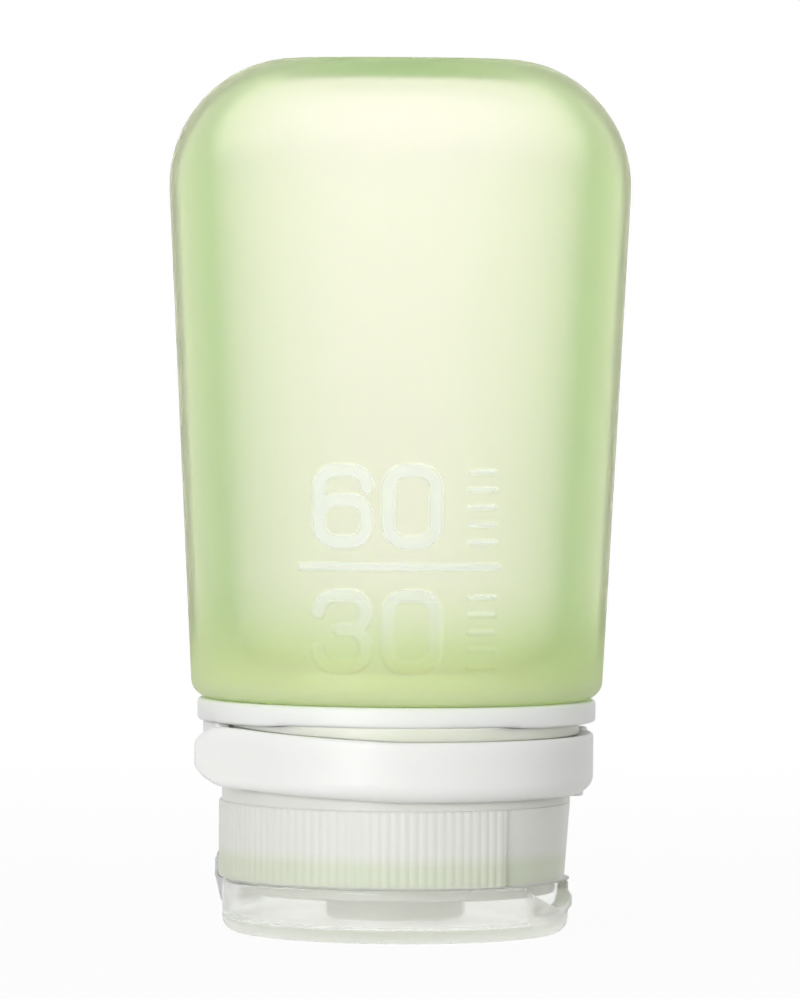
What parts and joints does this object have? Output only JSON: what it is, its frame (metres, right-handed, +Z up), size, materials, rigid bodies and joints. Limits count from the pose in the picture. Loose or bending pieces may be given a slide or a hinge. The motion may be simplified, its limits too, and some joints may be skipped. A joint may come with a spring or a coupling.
{
  "type": "travel squeeze bottle",
  "caption": "Soft silicone squeeze bottle that stands on its flip lid, with a screw cap, drip valve, collar and a swing-out hanging loop.",
  "frame": {"origin": "middle of the flip lid's outer face, on which the bottle stands", "axes": "+Z up from the lid to the crown of the silicone body, front towards -Y, +X to the right of someone who faces the front"},
  "size_m": [0.048, 0.0422, 0.0907],
  "materials": {
    "silicone": "frosted translucent green silicone",
    "white_plastic": "fine satin white polypropylene",
    "milky_plastic": "milky translucent polypropylene",
    "clear_plastic": "clear moulded polypropylene",
    "valve_silicone": "thin natural silicone"
  },
  "bodies": {
    "bottle": {"squeeze_body": "silicone", "collar": "white_plastic", "loop_hinge_pin": "white_plastic"},
    "loop": {"hanging_loop": "white_plastic"},
    "valve_ring": {"valve_retainer": "milky_plastic"},
    "cap": {"screw_cap": "milky_plastic", "drip_valve": "valve_silicone", "lid_hinge_strap": "clear_plastic"},
    "lid": {"flip_lid": "clear_plastic"}
  },
  "joints": [
    {"name": "loop_swing", "type": "hinge", "parent": "bottle", "child": "loop", "pos_m": [0.01854, 0.00749, 0.018], "axis": [0, 0, 1], "range_deg": [0, 110]},
    {"name": "cap_lift", "type": "slide", "parent": "bottle", "child": "valve_ring", "axis": [0, 0, -1], "range_m": [0, 0.006]},
    {"name": "cap_turn", "type": "hinge", "parent": "valve_ring", "child": "cap", "pos_m": [0, 0, 0.01], "axis": [0, 0, -1], "range_deg": [0, 540]},
    {"name": "lid_flip", "type": "hinge", "parent": "cap", "child": "lid", "pos_m": [-0.01678, 0.00678, 0.0056], "axis": [0.3746, 0.9272, 0], "range_deg": [0, 150], "deforming": ["lid_hinge_strap"]}
  ],
  "couplings": [
    {"joint": "cap_lift", "follows": "cap_turn", "m_per_rad": 0.00063662}
  ]
}
